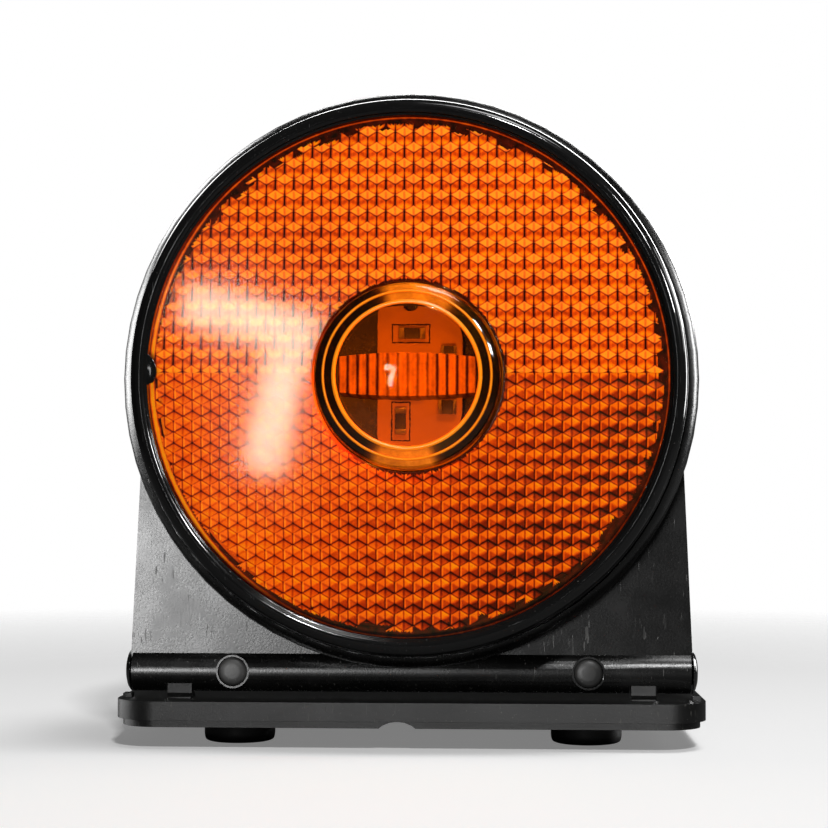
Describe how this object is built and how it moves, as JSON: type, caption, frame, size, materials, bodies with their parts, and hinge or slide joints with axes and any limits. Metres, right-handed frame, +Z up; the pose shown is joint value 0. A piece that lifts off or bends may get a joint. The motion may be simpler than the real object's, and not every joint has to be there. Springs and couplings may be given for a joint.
{
  "type": "barricade warning light",
  "caption": "Round amber reflector with a central LED marker in an arched black battery housing that tilts on a footed base plate.",
  "frame": {"origin": "under the middle of the base plate, on the plane that the rubber feet stand on", "axes": "+Z up, the reflector faces -Y, +X to the right of someone who faces the reflector"},
  "size_m": [0.0962, 0.0732, 0.1065],
  "materials": {
    "satin_black": "satin moulded black plastic, scuffed",
    "gloss_black": "polished black plastic",
    "rubber": "black rubber",
    "reflector_orange": "clear orange acrylic with prisms behind",
    "clear_amber": "clear amber acrylic",
    "steel": "zinc-plated steel",
    "solder_mask": "white solder mask on glass-fibre board",
    "chip_black": "moulded component black",
    "led_yellow": "phosphor under clear resin",
    "cell_wrap": null,
    "wire_red": "insulated wire",
    "wire_black": "insulated wire",
    "button_grey": "moulded dark grey plastic"
  },
  "bodies": {
    "base": {"base_plate": "satin_black", "rubber_foot_front_left": "rubber", "rubber_foot_front_right": "rubber", "rubber_foot_rear_left": "rubber", "rubber_foot_rear_right": "rubber", "hinge_rod": "steel"},
    "head": {"housing_shell": "satin_black", "hinge_cap_left": "satin_black", "hinge_cap_right": "satin_black", "friction_plug_left": "satin_black", "friction_plug_right": "satin_black", "bezel_ring": "gloss_black", "reflector_lens": "reflector_orange", "reflector_seal": "rubber", "marker_lens": "clear_amber", "optic_band": "clear_amber", "lamp_cup": "satin_black", "led_board": "solder_mask", "led_package": "led_yellow", "resistor_upper": "chip_black", "resistor_lower": "chip_black", "board_diode": "chip_black", "board_capacitor": "chip_black", "lead_positive": "wire_red", "lead_negative": "wire_black", "battery_holder": "satin_black", "battery_upper": "cell_wrap", "battery_lower": "cell_wrap", "battery_spring_upper": "steel", "battery_spring_lower": "steel", "contact_bridge": "steel", "terminal_positive": "steel", "terminal_negative": "steel", "driver_board": "solder_mask", "driver_chip": "chip_black", "switch_body": "chip_black", "rear_cover": "satin_black", "rear_gasket": "rubber", "cover_screw_lower_left": "steel", "cover_screw_lower_right": "steel", "cover_screw_upper_left": "steel", "cover_screw_upper_right": "steel"},
    "button": {"power_button": "button_grey"}
  },
  "joints": [
    {"name": "head_tilt", "type": "hinge", "parent": "base", "child": "head", "pos_m": [0, -0.018, 0.0122], "axis": [-1, 0, 0], "range_deg": [-20, 30]},
    {"name": "button_press", "type": "slide", "parent": "head", "child": "button", "axis": [0, -1, 0], "range_m": [0, 0.0018], "stiffness_N_per_m": 500, "springref_m": -0.001}
  ]
}
